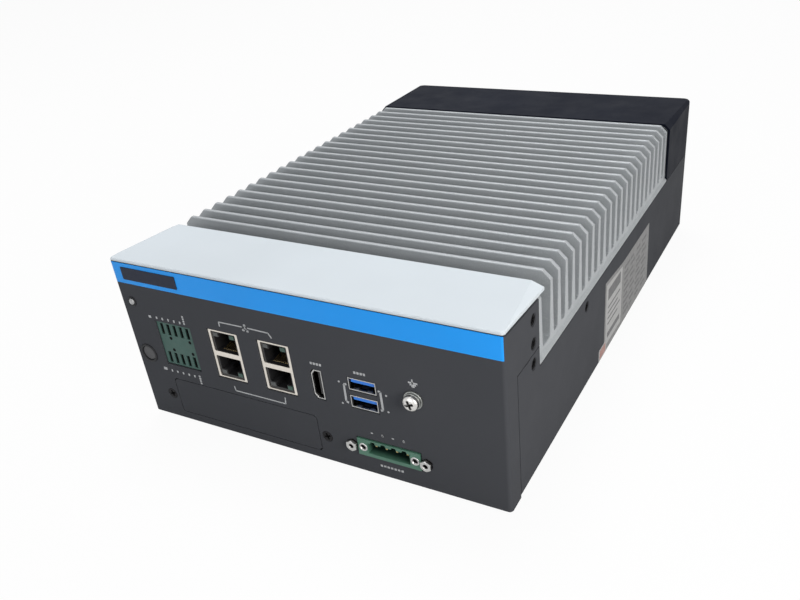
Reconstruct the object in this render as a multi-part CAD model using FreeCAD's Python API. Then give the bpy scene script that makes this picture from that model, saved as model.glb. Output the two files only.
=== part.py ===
import FreeCAD, Part
import math
import os

# A fanless industrial computer. The model is drawn in case coordinates, in millimetres:
# x from the left side of the case, y back from the front face, z up from the front
# panel's bottom edge. At the end every piece is shifted to the row's own frame.

V = FreeCAD.Vector

# ------------------------------------------------------------------ the case
case_width = 192.0
case_depth = 296.0
case_height = 85.0
sheet = 1.2                 # folded steel of the front panel's sides, chassis and rear cover
seam = 0.5                  # gap seen between two shells
foot_height = 2.0           # the feet stand out below the front panel's edge

face_sheet = 1.6            # the front panel's face
panel_corner = 1.8
panel_bottom_bevel = 1.0
flange_depth = 32.5         # the panel's side flange above the step in the seam
lip_depth = 9.6             # the same flange, and the bottom one, below the step
step_z = 60.8
side_seam_z = 50.9          # top edge of the chassis along the sides
chassis_lift = 1.2          # the chassis underside, over the front panel's edge
chassis_bevel = 1.2
rear_corner = 5.0

band_z = 73.1               # lower edge of the coloured band
band_film = 0.3

plate_sheet = 1.2           # the pale cover plate behind the band
plate_depth = 39.5
plate_inset = 0.4
plate_nose = 0.5
plate_facet_width = 5.5     # corner facet of the plate at its rear edge
plate_facet_drop = 2.2
plate_facet_tip = 0.2

cover_length = 55.0         # rear cover
cover_edge_bevel = 0.8
cover_facet_width = 3.1
cover_facet_drop = 3.1
cover_facet_tip = 1.4

# ------------------------------------------------------------------ heat sink
fin_pitch = 8.97
first_fin_y = 49.7
fin_tip = 2.0
fin_base = 4.4
fin_tip_round = 0.5
fin_root_round = 1.0
fin_chamfer = 3.8
gap_floor_z = 55.8
sink_underside_z = 50.0
front_wall = 10.0           # thickness of the wall under the pale plate
wall_shadow = 1.5           # the plate overhangs that wall
wall_draft = 1.2
wall_chamfer = 4.8
rear_wall = 4.0
rear_wall_setback = 3.0     # from the rear cover's front edge
rear_ledge = 4.0            # the base runs on under the rear cover
lip_edge = 0.7              # the base flares out over the chassis walls to this edge
skirt = 3.0                 # side skirts inside the chassis walls
skirt_z = 41.0
ear_depth = 12.0            # lugs that carry the front panel's side flanges
ear_width = 4.0
ear_drop = 3.8              # from the panel's top to theirs

# ------------------------------------------------------------------ boards and what is on them
board = 1.6
board_top_z = 32.8
board_side = 10.0           # from the case side to the carrier board
board_front = 3.5
board_length = 201.5
notch_x = 16.5              # the board's notch for the front board
notch_y = 14.0
power_board_top_z = 10.3
power_board_x = (110.0, 166.0)
power_board_y = (4.0, 85.0)
converter_size = (30.0, 26.0, 9.0)
converter_y = 50.0
coil_size = (8.5, 7.0)      # side and height
coil_pitch = 11.0
coil_y = 41.0
riser_size = (5.0, 24.0)
riser_at = (6.0, 22.0)      # from the power board's left edge, and from the front face

module_size = (100.0, 87.0)
module_centre_y = 150.5
module_gap = 5.0            # board to board height of the module connector
module_board = 1.4
chip_size = 33.0
chip_height = 2.0
spreader_height = 5.2
pad_size = (80.0, 70.0)
pad_height = 1.0
pedestal_inset = 5.0
module_foot = 6.0           # side of the spreader's feet
module_screw_inset = 4.0
module_connector_size = (72.0, 8.0)
module_connector_inset = 5.0
cell_at = (32.0, 85.0)
cell_radius = 10.0
cell_height = 3.2
cell_holder_side = 23.0
cell_holder_height = 4.6
cell_floor = 1.0
cell_gap = 0.1
radio_size = (22.0, 37.0)   # with its socket
radio_setback = 3.0
radio_board = 0.8
radio_lift = 2.6
radio_can = (18.0, 20.0, 1.4)
radio_can_setback = 6.0     # from the socket
radio_socket_size = (7.0, 4.2)
radio_screw_inset = 2.5

# ------------------------------------------------------------------ ports on the front face
button_at = (7.8, 36.0)
button_radius = 3.72
button_fit = 0.08
button_ring_radius = 4.9
button_ring_proud = 0.5
button_travel = 0.8
button_ring_end = 3.9
button_collar = (0.7, 1.2)  # width, and reach behind the ring
button_collar_gap = 0.2

led_at = (7.2, 63.9)
led_radius = 1.5
led_ring_radius = 2.4
led_ring_proud = 0.5

front_board_y = 9.0
front_board_z = (26.0, 72.0)
front_board_x = (2.4, 13.5)
switch_side = 6.0
switch_stem = (1.5, 0.4)    # radius and length of its plunger
switch_gap = 0.15           # left over when the cap is fully in
header_x = (10.2, 16.0)
header_size = (11.0, 5.0)
led_dome = 0.3              # the light pipe stands out of its ring

port_gap = 0.4              # a connector in its cut-out
dio_x = 28.5
dio_width = 20.4
dio_top_z = 55.4
dio_recess = 0.6
dio_depth = 18.0
dio_pitch = 3.8
dio_count = 5
dio_slot = (1.9, 5.8)
dio_slot_depth = 9.0
dio_clamp = (1.4, 4.0, 2.32)    # width, depth and height of a wire clamp
dio_row_z = (36.5, 51.8)

lan_x = (57.8, 85.2)
lan_width = 16.2
lan_top_z = 57.7
lan_recess = 0.4
lan_depth = 26.0
lan_shell = 0.5
lan_middle_z = 45.5
lan_bar = 2.4               # bar between the upper and the lower socket
lan_socket = (11.9, 7.4)
lan_latch = (6.0, 2.3)
lan_window = (2.6, 2.0)
lan_socket_depth = 13.0
lan_contact_count = 8
lan_contact_pitch = 1.02
lan_wire = (0.45, 0.4)      # width and thickness of a contact
lan_wire_rise = 2.2

video_at = (105.7, 41.95)
video_size = (5.2, 14.5)
video_bevel = (1.5, 2.0)
video_depth = 12.0
video_front = 0.2           # the mouth, behind the panel's face
video_wall = 0.45
video_tongue_size = (1.1, 11.4)
video_tongue_front = 1.6
video_back = 2.0
video_leg = (2.4, 1.5)
video_leg_y = (3.0, 9.0)

usb_x = 128.0
usb_width = 13.2
usb_z = (37.7, 46.5)
usb_opening = (12.4, 5.1)
usb_top_z = 50.2
usb_depth = 17.0
usb_socket_depth = 11.0
usb_tongue = (11.2, 1.8)
usb_wall = 0.4
usb_mouth = 0.2             # the socket mouths, behind the panel's face
usb_spring = (2.6, 6.0, 0.7)    # width, length and height of a mouth's spring
usb_spring_x = 3.3
usb_tongue_gap = 0.3
usb_tongue_front = 1.0

ground_at = (152.0, 46.3)
ground_shank = 3.4
ground_nut_size = (7.0, 3.2)
ground_head = (3.5, 2.6)    # radius and height
ground_flat = (4.2, 0.8)
ground_lock = (3.7, 0.9)

supply_x = 137.0            # power terminal
supply_z = 14.7
supply_width = 30.4
supply_height = 8.8
supply_proud = 0.6
supply_depth = 12.0
supply_socket = (20.4, 5.4)
supply_socket_depth = 9.0
supply_pitch = 5.08
supply_poles = 4
supply_pin = 0.9
supply_key = (1.5, 0.9, 1.1)    # half widths of a key slot, and its height
supply_key_gap = 3.0            # the key slots end before the socket does
supply_nut_proud = 0.2
supply_nut_end = 8.0
supply_flange_span = 25.1
supply_nut_radius = 2.1
supply_thread_radius = 1.25
post_span = 35.9
post_z = 14.5
post_flats = 4.8
post_height = 2.0
post_shank = 2.9
post_thread_radius = 1.1
post_nut = 2.2

bay_x = (19.5, 101.7)
bay_z = (5.0, 24.6)
bay_corner = 1.3
bay_gap = 0.35
bay_ear_depth = 1.8
bay_ear_height = 13.0
bay_ear_end = 3.5           # from the screw to the ear's end
bay_screw_reach = 4.0       # from the cut-out's end to the screw
bay_screw_z = 14.5
tray_inset = 3.0            # from the cut-out's ends
tray_sheet = 1.0
tray_length = 112.0
tray_height = 12.0
drive_size = (69.8, 100.0, 7.0)
drive_corner = 2.0
drive_setback = 8.0

# ------------------------------------------------------------------ fasteners, feet and rear
flat_head_radius = 2.7
flat_head_rim = 0.2         # straight rim of the head, and its 45 degree part behind
flat_head_taper = 1.0
flat_head_sides = 20
screw_clearance = 0.1
shank_flats = 2.55          # threaded shanks are hexagonal stand-ins, two flats apart
shank_gap = 0.2
flange_screw_y = 26.5
flange_screw_share = (0.187, 0.658)     # how far up the side flange its two screws are
tab_screw_drop = 5.0        # the chassis tab's screw below the step
chassis_screw_at = (92.0, 46.0)
foot_size = 12.0
foot_corner = 3.0
foot_inset = (22.0, 30.0)
bracket_inset = (16.0, 58.0)   # from the case's sides, and from its front and rear
bracket_thread_radius = 1.65
bracket_nut = (7.0, 2.0)    # flats, and height over the chassis floor
standoff_flats = 5.5
standoff_side = 14.0
standoff_y = (40.0, 200.0)
board_screw = (6.0, 2.0)
short_spacer_flats = 4.0
rear_tab_x = (32.0, 96.0, 160.0)
rear_tab = (14.0, 40.0, 64.0)   # width, bottom and top

# ------------------------------------------------------------------ worked out from the above
panel_top_z = case_height - plate_sheet - seam
cover_y = case_depth - cover_length
cover_z = side_seam_z + seam
chassis_y = lip_depth + seam
floor_z = chassis_lift + sheet
sink_x = (sheet, case_width - sheet)
board_z = board_top_z - board
power_board_z = power_board_top_z - board
module_z = board_top_z + module_gap
chip_z = module_z + module_board
spreader_z = chip_z + chip_height
pad_z = spreader_z + spreader_height
pedestal_z = pad_z + pad_height
middle_x = case_width / 2
front_reach = ground_flat[1] + ground_lock[1] + ground_head[1]
flange_screw_z = [step_z + share * (panel_top_z - step_z) for share in flange_screw_share]
flange_screw_z.append(step_z - tab_screw_drop)
ear_top_z = panel_top_z - ear_drop
module_left = middle_x - module_size[0] / 2
module_rear = module_centre_y + module_size[1] / 2
radio_x = (module_left - radio_size[0], module_left)
radio_y = (module_rear - radio_setback - radio_size[1], module_rear - radio_setback)


# ------------------------------------------------------------------ drawing helpers
AXES = {"x": V(1, 0, 0), "y": V(0, 1, 0), "z": V(0, 0, 1)}


def spot(axis, along, u, v):
    """The point at distance along on the axis, with the other two coordinates in order."""
    return {"x": V(along, u, v), "y": V(u, along, v), "z": V(u, v, along)}[axis]


def around(centre, size):
    return (centre - size / 2, centre + size / 2)


def box(x, y, z):
    """A block between two limits on each axis."""
    return Part.makeBox(x[1] - x[0], y[1] - y[0], z[1] - z[0], V(x[0], y[0], z[0]))


def rod(axis, u, v, radius, start, end):
    return Part.makeCylinder(radius, end - start, spot(axis, start, u, v), AXES[axis])


def prism(points, axis, start, end):
    """A straight solid on a closed outline. A point is (u, v) or (u, v, corner radius).

    A rounded corner is drawn as two chords, which keeps the many fins light.
    """
    flat = [V(p[0], p[1], 0) for p in points]
    radii = [p[2] if len(p) > 2 else 0 for p in points]
    count = len(points)
    corners = []
    for i in range(count):
        here = flat[i]
        to_last = (flat[i - 1] - here).normalize()
        to_next = (flat[(i + 1) % count] - here).normalize()
        if radii[i] == 0:
            corners.append(here)
            continue
        half = to_last.getAngle(to_next) / 2
        reach = radii[i] / math.tan(half)
        centre = here + (to_last + to_next).normalize() * (radii[i] / math.sin(half))
        middle = centre + (here - centre).normalize() * radii[i]
        corners += [here + to_last * reach, middle, here + to_next * reach]
    outline = [spot(axis, start, c.x, c.y) for c in corners]
    return Part.Face(Part.makePolygon(outline + outline[:1])).extrude(AXES[axis] * (end - start))


def polygon(sides, radius, u, v):
    turns = [2 * math.pi / sides * (i + 0.5) for i in range(sides)]
    return [(u + radius * math.cos(t), v + radius * math.sin(t)) for t in turns]


def hexagon(flats, u, v):
    return polygon(6, flats / math.sqrt(3), u, v)


def rounded(shape, radius, chosen):
    """The shape with the edges that chosen(edge's box) picks rounded."""
    return shape.makeFillet(radius, [e for e in shape.Edges if chosen(e.BoundBox)])


def bevelled(shape, size, chosen):
    return shape.makeChamfer(size, [e for e in shape.Edges if chosen(e.BoundBox)])


def upright(b):
    return b.XLength < 1e-6 and b.YLength < 1e-6


def wedge(corner, tip, low, inset):
    """Everything outside a corner facet through three points, the facet moved in by inset."""
    normal = (tip - corner).cross(low - corner).normalize()
    if normal.z < 0:
        normal = normal * -1
    along = (tip - corner).normalize()
    across = normal.cross(along)
    reach = 2 * case_height
    start = corner - normal * inset - (along + across) * reach
    facet = Part.makePlane(2 * reach, 2 * reach, start, normal, along)
    return facet.extrude(normal * case_height)


def mirrored(shape):
    """The same piece on the other side of the case."""
    return shape.mirror(V(middle_x, 0, 0), AXES["x"])


def both_sides(shape):
    return [shape, mirrored(shape)]


def joined(shapes):
    return shapes[0].multiFuse(shapes[1:]).removeSplitter()


def cut(shape, tools):
    return shape.cut(Part.makeCompound(tools))


def flat_screw(axis, u, v, length, extra=0.0):
    """Countersunk screw flush with the face at 0. With extra it is the hole for that screw.

    Its round head is drawn with flat sides, as the screws would outweigh the case otherwise.
    """
    neck = flat_head_rim + flat_head_taper
    head = prism(polygon(flat_head_sides, flat_head_radius + extra, u, v), axis, 0, neck)
    behind = spot(axis, neck, u, v)
    head = bevelled(head, flat_head_taper, lambda b: b.isInside(b.Center)
                    and abs((b.Center - behind).dot(AXES[axis])) < 1e-6)
    shank = prism(hexagon(shank_flats + 2 * extra, u, v), axis, neck, length)
    return joined([head, shank])


def flat_hole(axis, u, v, length):
    return flat_screw(axis, u, v, length, screw_clearance)


def hex_nut(flats, shank, axis, u, v, start, end):
    """Nut on a shank of the given flats."""
    nut = prism(hexagon(flats, u, v), axis, start, end)
    return nut.cut(prism(hexagon(shank + shank_gap, u, v), axis, start - 1, end + 1))


# ------------------------------------------------------------------ corner facets
def plate_facet(inset):
    rear = case_width - plate_facet_width
    right = wedge(V(rear, plate_depth, case_height),
                  V(case_width - plate_facet_tip, 0, case_height),
                  V(case_width, plate_depth, case_height - plate_facet_drop), inset)
    return both_sides(right)


def cover_facet(inset):
    front = case_width - cover_facet_width
    right = wedge(V(front, cover_y, case_height),
                  V(case_width - cover_facet_tip, case_depth, case_height),
                  V(case_width, cover_y, case_height - cover_facet_drop), inset)
    return both_sides(right)


# ------------------------------------------------------------------ shells
def fastener_holes():
    """Holes for the side screws, through the flanges and walls and into the heat sink."""
    holes = []
    for z in flange_screw_z:
        holes.append(flat_hole("x", flange_screw_y, z, sheet + ear_width + 1))
    holes.append(flat_hole("x", *chassis_screw_at, sheet + skirt + 1))
    return holes + [mirrored(h) for h in holes]


def bay_outline(gap):
    """The bay cover's outline, smaller than its cut-out by gap all round."""
    left, right = bay_x[0] + gap, bay_x[1] - gap
    low, high = bay_z[0] + gap, bay_z[1] - gap
    c = bay_corner
    return [(left + c, low), (right - c, low), (right, low + c), (right, high - c),
            (right - c, high), (left + c, high), (left, high - c), (left, low + c)]


def video_outline(grow):
    """The video socket's outline on its side, with its two bevelled corners to the left."""
    half_x = video_size[0] / 2 + grow
    half_z = video_size[1] / 2 + grow
    bx, bz = video_bevel
    x, z = video_at
    return [(x - half_x, z - half_z + bz), (x - half_x + bx, z - half_z), (x + half_x, z - half_z),
            (x + half_x, z + half_z), (x - half_x + bx, z + half_z), (x - half_x, z + half_z - bz)]


def port_cutouts():
    """The openings in the front panel's face."""
    through = (-1, face_sheet + 1)
    inset = 2 * port_gap
    low = board_top_z - port_gap
    tools = [box(around(dio_x, dio_width + inset), through, (low, dio_top_z + port_gap))]
    for x in lan_x:
        tools.append(box(around(x, lan_width + inset), through, (low, lan_top_z + port_gap)))
    tools.append(prism(video_outline(port_gap), "y", *through))
    for z in usb_z:
        edge = 2 * usb_wall + inset
        tools.append(box(around(usb_x, usb_opening[0] + edge), through,
                         around(z, usb_opening[1] + edge)))
    tools.append(box(around(supply_x, supply_width + inset), through,
                     around(supply_z, supply_height + inset)))
    tools.append(prism(bay_outline(0), "y", *through))
    tools.append(rod("y", *button_at, button_ring_radius, *through))
    tools.append(rod("y", *led_at, led_ring_radius, *through))
    tools.append(prism(hexagon(ground_shank + shank_gap, *ground_at), "y", *through))
    for x in around(supply_x, post_span):
        tools.append(prism(hexagon(post_shank + shank_gap, x, post_z), "y", *through))
    for x in bay_screw_x():
        tools.append(flat_hole("y", x, bay_screw_z, face_sheet + 1))
    return tools


def bay_screw_x():
    return (bay_x[0] - bay_screw_reach, bay_x[1] + bay_screw_reach)


def front_panel():
    """Face with side flanges and a bottom lip; the flanges are short below the side step."""
    pan = box((0, case_width), (0, flange_depth), (0, panel_top_z))
    pan = rounded(pan, panel_corner, lambda b: upright(b) and b.YMin < 1)
    pan = bevelled(pan, panel_bottom_bevel, lambda b: b.ZMax < 1e-6 and b.YMin < flange_depth - 1)
    inside = box((sheet, case_width - sheet), (face_sheet, flange_depth + 1), (sheet, case_height))
    below_step = box((-1, case_width + 1), (lip_depth, flange_depth + 1), (-1, step_z))
    band = box((panel_corner, case_width - panel_corner), (-1, band_film), (band_z, case_height))
    pan = cut(pan, [inside, below_step, band])
    pan = cut(pan, plate_facet(plate_sheet + seam))
    pan = cut(pan, port_cutouts())
    return cut(pan, fastener_holes())


def accent_strip():
    return box((panel_corner, case_width - panel_corner), (0, band_film), (band_z, panel_top_z))


def front_top_plate():
    """Folded cover plate whose two side edges are bent down as tapering facets."""
    deep = case_height / 2
    skin = box((plate_inset, case_width - plate_inset), (0, plate_depth), (deep, case_height))
    skin = rounded(skin, panel_corner - plate_inset, lambda b: upright(b) and b.YMin < 1)
    skin = bevelled(skin, plate_nose, lambda b: b.ZMin > case_height - 1e-6
                    and b.YMax < plate_depth and b.YLength < 2)
    skin = cut(skin, plate_facet(0))
    under = box((-1, case_width + 1), (-1, plate_depth + 1), (deep - 1, case_height - plate_sheet))
    under = cut(under, plate_facet(plate_sheet))
    return skin.cut(under)


def lower_chassis():
    """Tray with a floor, two sides and a rear wall, with tabs beside the front flanges."""
    tab_top = step_z - seam
    tray = box((0, case_width), (chassis_y, case_depth), (chassis_lift, tab_top))
    tray = rounded(tray, rear_corner, lambda b: upright(b) and b.YMin > case_depth - 1)
    tray = bevelled(tray, chassis_bevel, lambda b: b.ZMax < chassis_lift + 1e-6
                    and b.YMax > chassis_y + 1)
    room = box((sheet, case_width - sheet), (0, case_depth - sheet), (floor_z, case_height))
    room = rounded(room, rear_corner - sheet, lambda b: upright(b) and b.YMin > case_depth / 2)
    above_seam = box((-1, case_width + 1), (flange_depth, case_depth + 1), (side_seam_z, case_height))
    tray = cut(tray, [room, above_seam])
    tabs = []
    for x in rear_tab_x:
        tabs.append(box(around(x, rear_tab[0]), (case_depth - 2 * sheet, case_depth - sheet),
                        rear_tab[1:]))
    tray = joined([tray] + tabs)
    holes = fastener_holes()
    for x, y in bracket_places():
        holes.append(prism(hexagon(bracket_nut[0], x, y), "z", 0, floor_z + 1))
    return cut(tray, holes)


def rear_cover():
    """Cover over the rear end: top, rear and sides, with the same tapering facets."""
    skin = box((0, case_width), (cover_y, case_depth), (cover_z, case_height))
    skin = rounded(skin, rear_corner, lambda b: upright(b) and b.YMin > case_depth - 1)
    skin = bevelled(skin, cover_edge_bevel, lambda b: b.ZMin > case_height - 1e-6
                    and b.YMax > cover_y + 1)
    skin = cut(skin, cover_facet(0))
    room = box((sheet, case_width - sheet), (cover_y - 1, case_depth - sheet),
               (cover_z - 1, case_height - sheet))
    room = rounded(room, rear_corner - sheet, lambda b: upright(b) and b.YMin > cover_y)
    room = cut(room, cover_facet(sheet))
    return skin.cut(room)


# ------------------------------------------------------------------ heat sink
def fin_places():
    room = cover_y - first_fin_y - fin_base / 2
    return [first_fin_y + fin_pitch * i for i in range(int(room / fin_pitch) + 1)]


def heat_sink():
    """One casting: base, front and rear walls, drafted fins, side skirts, lugs and pedestal."""
    wall_end = plate_depth - wall_shadow
    wall_start = wall_end - front_wall
    wall_top = case_height - plate_sheet
    rear_wall_y = cover_y + rear_wall_setback
    rear_top = case_height - sheet
    root, tip = fin_root_round, fin_tip_round
    profile = [(wall_start, sink_underside_z), (wall_start, wall_top), (wall_end, wall_top, tip),
               (wall_end + wall_draft, gap_floor_z, root)]
    for y in fin_places():
        profile += [(y - fin_base / 2, gap_floor_z, root), (y - fin_tip / 2, case_height, tip),
                    (y + fin_tip / 2, case_height, tip), (y + fin_base / 2, gap_floor_z, root)]
    ledge_end = rear_wall_y + rear_wall + rear_ledge
    profile += [(rear_wall_y - wall_draft, gap_floor_z, root), (rear_wall_y, rear_top),
                (rear_wall_y + rear_wall, rear_top), (rear_wall_y + rear_wall, gap_floor_z),
                (ledge_end, gap_floor_z), (ledge_end, sink_underside_z)]
    body = prism(profile, "x", *sink_x)

    left = sink_x[0]

    def corner_prism(top, size, start, end):
        """Takes a 45 degree corner off the ends, between two places along the case."""
        over = case_height
        outline = [(left - 1, top - size - 1), (left + size + over, top + over), (left - 1, top + over)]
        return prism(outline, "y", start, end)

    chamfers = both_sides(corner_prism(case_height, fin_chamfer, wall_end + wall_draft, rear_wall_y))
    chamfers += both_sides(corner_prism(wall_top, wall_chamfer, wall_start - 1, wall_end + wall_draft))
    chamfers += both_sides(corner_prism(rear_top, wall_chamfer, rear_wall_y, ledge_end + 1))
    body = cut(body, chamfers)

    lip_top = cover_z + lip_edge
    lip = prism([(left, cover_z), (left, lip_top + left), (0, lip_top), (0, cover_z)], "y",
                flange_depth + seam, cover_y - seam)
    pieces = [body] + both_sides(lip)
    pieces += both_sides(box((left, left + skirt), (wall_start, ledge_end),
                             (skirt_z, sink_underside_z)))
    pieces += both_sides(box((left, left + ear_width), (wall_start - ear_depth, wall_start),
                             (sink_underside_z, ear_top_z)))
    pieces.append(box(around(middle_x, module_size[0] - 2 * pedestal_inset),
                      around(module_centre_y, module_size[1]), (pedestal_z, sink_underside_z)))
    return cut(joined(pieces), fastener_holes())


# ------------------------------------------------------------------ front controls
def power_button():
    """Cap that slides in its ring, with a collar behind the ring."""
    x, z = button_at
    cap = rod("y", x, z, button_radius, 0, button_ring_end + button_collar[1])
    collar = rod("y", x, z, button_radius + button_collar[0], button_ring_end + button_collar_gap,
                 button_ring_end + button_collar[1])
    return joined([cap, collar])


def button_ring():
    ring = rod("y", *button_at, button_ring_radius, -button_ring_proud, button_ring_end)
    return ring.cut(rod("y", *button_at, button_radius + button_fit, -1, button_ring_end + 1))


def button_switch():
    """Small board-mounted push switch behind the cap, clear of it by its travel."""
    x, z = button_at
    radius, length = switch_stem
    plunger = button_ring_end + button_collar[1] + button_travel + switch_gap
    body = box(around(x, switch_side), (plunger + length, front_board_y), around(z, switch_side))
    return joined([body, rod("y", x, z, radius, plunger, plunger + length)])


def led_ring():
    end = face_sheet + 1
    ring = rod("y", *led_at, led_ring_radius, -led_ring_proud, end)
    return ring.cut(rod("y", *led_at, led_radius, -1, end + 1))


def status_led():
    """Light pipe from the front board to the face."""
    return rod("y", *led_at, led_radius, -led_ring_proud - led_dome, front_board_y)


def front_board():
    return box(front_board_x, (front_board_y, front_board_y + board), front_board_z)


def front_board_header():
    start = front_board_y + board
    long, high = header_size
    return box(header_x, (start, start + long), (board_top_z, board_top_z + high))


# ------------------------------------------------------------------ connectors
def dio_slot_x():
    start = dio_x - dio_pitch * (dio_count - 1) / 2
    return [start + dio_pitch * i for i in range(dio_count)]


def dio_terminal():
    """Two-row signal terminal with a slot for each wire."""
    block = box(around(dio_x, dio_width), (dio_recess, dio_depth), (board_top_z, dio_top_z))
    wide, tall = dio_slot
    tools = []
    for z in dio_row_z:
        for x in dio_slot_x():
            tools.append(box(around(x, wide), (0, dio_recess + dio_slot_depth), around(z, tall)))
    return cut(block, tools)


def dio_contacts():
    """A spring clamp at the bottom of each slot."""
    wide, deep, tall = dio_clamp
    back = dio_recess + dio_slot_depth
    return [box(around(x, wide), (back - deep, back), around(z, tall))
            for z in dio_row_z for x in dio_slot_x()]


def lan_ports():
    """Centre height of each socket's main room, and the side its latch is on."""
    offset = lan_bar / 2 + lan_socket[1] / 2
    return ((lan_middle_z - offset, -1), (lan_middle_z + offset, 1))


def lan_shell_piece(x):
    """Stamped shield of a double network socket, open behind its face frame."""
    front = (lan_recess, lan_recess + lan_shell)
    block = box(around(x, lan_width), (front[0], lan_depth), (board_top_z, lan_top_z))
    inner = box(around(x, lan_width - 2 * lan_shell), (front[1], lan_depth - lan_shell),
                (board_top_z - 1, lan_top_z - lan_shell))
    tools = [inner]
    tall = lan_socket[1] + lan_latch[1] + 0.3
    for z, side in lan_ports():
        inner_edge = z - side * lan_socket[1] / 2
        limits = sorted((inner_edge, inner_edge + side * tall))
        tools.append(box(around(x, lan_socket[0] + 0.5), (0, front[1] + 0.1), limits))
    return cut(block, tools)


def lan_insert(x):
    """Plastic body inside the shield, with two stepped sockets."""
    front = lan_recess + lan_shell
    body = box(around(x, lan_width - 2 * lan_shell), (front, lan_depth - lan_shell),
               (board_top_z, lan_top_z - lan_shell))
    tools = []
    for z, side in lan_ports():
        wide, tall = lan_socket[0] / 2, lan_socket[1] / 2
        latch = lan_latch[0] / 2
        edge, top = z + side * tall, z + side * (tall + lan_latch[1])
        outline = [(x - wide, z - side * tall), (x + wide, z - side * tall), (x + wide, edge),
                   (x + latch, edge), (x + latch, top), (x - latch, top), (x - latch, edge),
                   (x - wide, edge)]
        tools.append(prism(outline, "y", 0, front + lan_socket_depth))
    return cut(body, tools)


def lan_contacts_at(x):
    """Spring wires that rise from the side away from the latch."""
    wires = []
    start = lan_recess + lan_shell + 2
    end = lan_recess + lan_shell + lan_socket_depth
    for z, side in lan_ports():
        floor = z - side * lan_socket[1] / 2
        rise = side * lan_wire_rise
        thick = side * lan_wire[1]
        outline = [(start, floor), (start + 1, floor), (end, floor + rise - thick),
                   (end, floor + rise)]
        for i in range(lan_contact_count):
            wire_x = x + (i - (lan_contact_count - 1) / 2) * lan_contact_pitch
            wires.append(prism(outline, "x", *around(wire_x, lan_wire[0])))
    return wires


def lan_windows():
    """Indicator windows beside each latch slot."""
    front = lan_recess + lan_shell
    windows = []
    for x in lan_x:
        for z, side in lan_ports():
            edge = z + side * (lan_socket[1] / 2 + 0.2)
            limits = sorted((edge, edge + side * lan_window[1]))
            for way in (-1, 1):
                centre = x + way * (lan_latch[0] / 2 + 0.25 + lan_window[0] / 2)
                windows.append(box(around(centre, lan_window[0]), (front - 0.4, front), limits))
    return windows


def video_shell():
    """Shield of the video socket, standing on two legs on the board."""
    x, z = video_at
    shell = prism(video_outline(0), "y", video_front, video_depth)
    shell = shell.cut(prism(video_outline(-video_wall), "y", 0, video_depth - video_wall))
    foot = z - video_size[1] / 2 + video_wall / 2
    wide, deep = video_leg
    leg_x = around(x + video_bevel[0] / 2, wide)
    return joined([shell] + [box(leg_x, (y, y + deep), (board_top_z, foot)) for y in video_leg_y])


def video_tongue():
    x, z = video_at
    wide, tall = video_tongue_size
    back = video_depth - video_wall
    blade = box(around(x + video_wall, wide), (video_tongue_front, back - video_back), around(z, tall))
    base = prism(video_outline(-video_wall), "y", back - video_back, back)
    return joined([blade, base])


def usb_shell():
    """Shield of the double serial bus socket: a box with two mouths that reach the panel."""
    front = face_sheet + port_gap
    block = box(around(usb_x, usb_width), (front, usb_depth), (board_top_z, usb_top_z))
    mouths, rooms, lips = [], [], []
    rooms.append(box(around(usb_x, usb_width - 2 * usb_wall), (front + usb_wall, usb_depth - usb_wall),
                     (board_top_z - 1, usb_top_z - usb_wall)))
    for z in usb_z:
        low = z - usb_opening[1] / 2
        mouths.append(box(around(usb_x, usb_opening[0] + 2 * usb_wall), (usb_mouth, front + usb_wall),
                          around(z, usb_opening[1] + 2 * usb_wall)))
        rooms.append(box(around(usb_x, usb_opening[0]), (0, front + 2 * usb_wall),
                         around(z, usb_opening[1])))
        wide, long, high = usb_spring
        lip = [(usb_mouth, low), (usb_mouth + long, low), (usb_mouth + long * 2 / 3, low + high),
               (usb_mouth + long * 0.4, low + high)]
        lips += [prism(lip, "x", *around(x, wide)) for x in around(usb_x, 2 * usb_spring_x)]
    return joined([cut(joined([block] + mouths), rooms)] + lips)


def usb_insert():
    """Black body behind the two tongues."""
    front = face_sheet + port_gap + usb_wall
    body = box(around(usb_x, usb_width - 2 * usb_wall), (front, usb_depth - usb_wall),
               (board_top_z, usb_top_z - usb_wall))
    tools = [box(around(usb_x, usb_opening[0]), (front - 1, usb_socket_depth),
                 around(z, usb_opening[1])) for z in usb_z]
    return cut(body, tools)


def usb_tongues():
    wide, thick = usb_tongue
    tops = [z + usb_opening[1] / 2 - usb_tongue_gap for z in usb_z]
    y = (usb_tongue_front, usb_socket_depth)
    return [box(around(usb_x, wide), y, (top - thick, top)) for top in tops]


def supply_flange_x():
    return around(supply_x, supply_flange_span)


def power_terminal():
    """Flanged supply terminal: one socket for four poles, keyed along its upper edge."""
    body = box(around(supply_x, supply_width), (-supply_proud, supply_depth - supply_proud),
               around(supply_z, supply_height))
    deep = supply_socket_depth - supply_proud
    socket_z = around(supply_z, supply_socket[1])
    tools = [box(around(supply_x, supply_socket[0]), (-supply_proud - 1, deep), socket_z)]
    wide, narrow, tall = supply_key
    low, high = socket_z[1] - 0.5, socket_z[1] + tall
    for x in supply_pin_x():
        key = [(x - wide, low), (x + wide, low), (x + narrow, high), (x - narrow, high)]
        tools.append(prism(key, "y", -supply_proud - 1, deep - supply_key_gap))
    for x in supply_flange_x():
        tools.append(rod("y", x, supply_z, supply_nut_radius, -supply_proud - 1, supply_depth))
    for x in supply_pin_x():
        tools.append(box(around(x, supply_pin), (deep - 1, supply_depth), around(supply_z, supply_pin)))
    return cut(body, tools)


def supply_pin_x():
    start = supply_x - supply_pitch * (supply_poles - 1) / 2
    return [start + supply_pitch * i for i in range(supply_poles)]


def power_pins():
    """Pins through the terminal's back, bent down to the power board."""
    back = supply_depth - supply_proud
    pins = []
    for x in supply_pin_x():
        across = around(x, supply_pin)
        blade = box(across, (2.0, back + 1.4), around(supply_z, supply_pin))
        leg = box(across, (back + 0.5, back + 1.4), (power_board_top_z, supply_z))
        pins.append(joined([blade, leg]))
    return pins


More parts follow.
